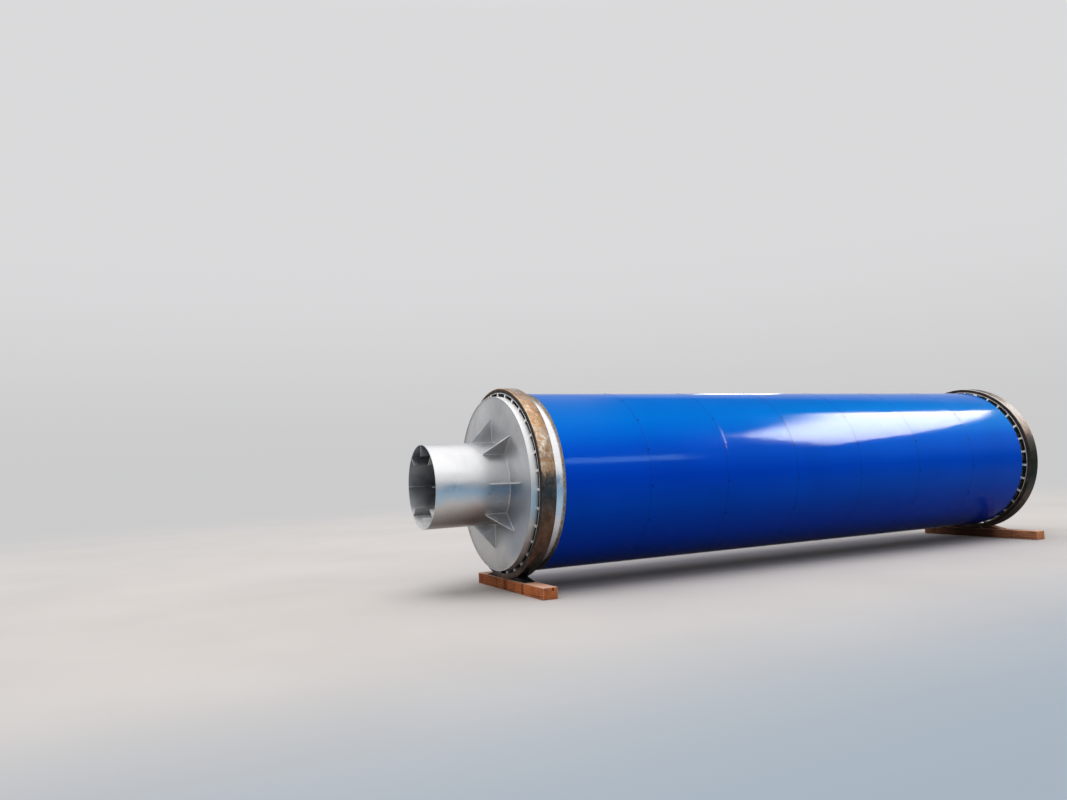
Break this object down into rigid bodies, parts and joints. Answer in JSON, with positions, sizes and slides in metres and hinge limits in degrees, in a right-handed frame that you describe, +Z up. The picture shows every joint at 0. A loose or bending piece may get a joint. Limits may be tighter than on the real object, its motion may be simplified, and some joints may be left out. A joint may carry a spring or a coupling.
{
  "type": "rotary drum dryer",
  "caption": "Insulated rotary drum dryer with riding tyres, gusseted open nozzles and lifting flights, chocked on transport timbers.",
  "frame": {"origin": "on the ground, under the middle of the drum's length", "axes": "+X along the drum from its front end to its rear end, +Z up"},
  "size_m": [12.173, 2.634, 2.7858],
  "materials": {
    "stainless": "satin",
    "mineral_wool": "matt",
    "blue_sheet": "gloss",
    "tyre_steel": "rusted",
    "galvanised": "satin",
    "timber": "rough sawn",
    "chock_rubber": "matt"
  },
  "bodies": {
    "root": {"drum_shell": "stainless", "insulation": "mineral_wool", "cladding_band_1": "blue_sheet", "cladding_band_2": "blue_sheet", "cladding_band_3": "blue_sheet", "cladding_band_4": "blue_sheet", "cladding_band_5": "blue_sheet", "cladding_band_6": "blue_sheet", "cladding_band_7": "blue_sheet", "lifting_flights": "stainless", "front_tyre": "tyre_steel", "front_seat_band": "stainless", "front_tyre_pads": "stainless", "front_closing_ring": "galvanised", "front_head_plate": "stainless", "front_nozzle": "stainless", "front_nozzle_gussets": "stainless", "front_nozzle_ribs": "stainless", "front_timber": "timber", "front_left_chock": "chock_rubber", "front_right_chock": "chock_rubber", "rear_tyre": "tyre_steel", "rear_seat_band": "stainless", "rear_tyre_pads": "stainless", "rear_closing_ring": "galvanised", "rear_head_plate": "stainless", "rear_nozzle": "stainless", "rear_nozzle_gussets": "stainless", "rear_nozzle_ribs": "stainless", "rear_timber": "timber", "rear_left_chock": "timber", "rear_right_chock": "timber"}
  },
  "joints": []
}
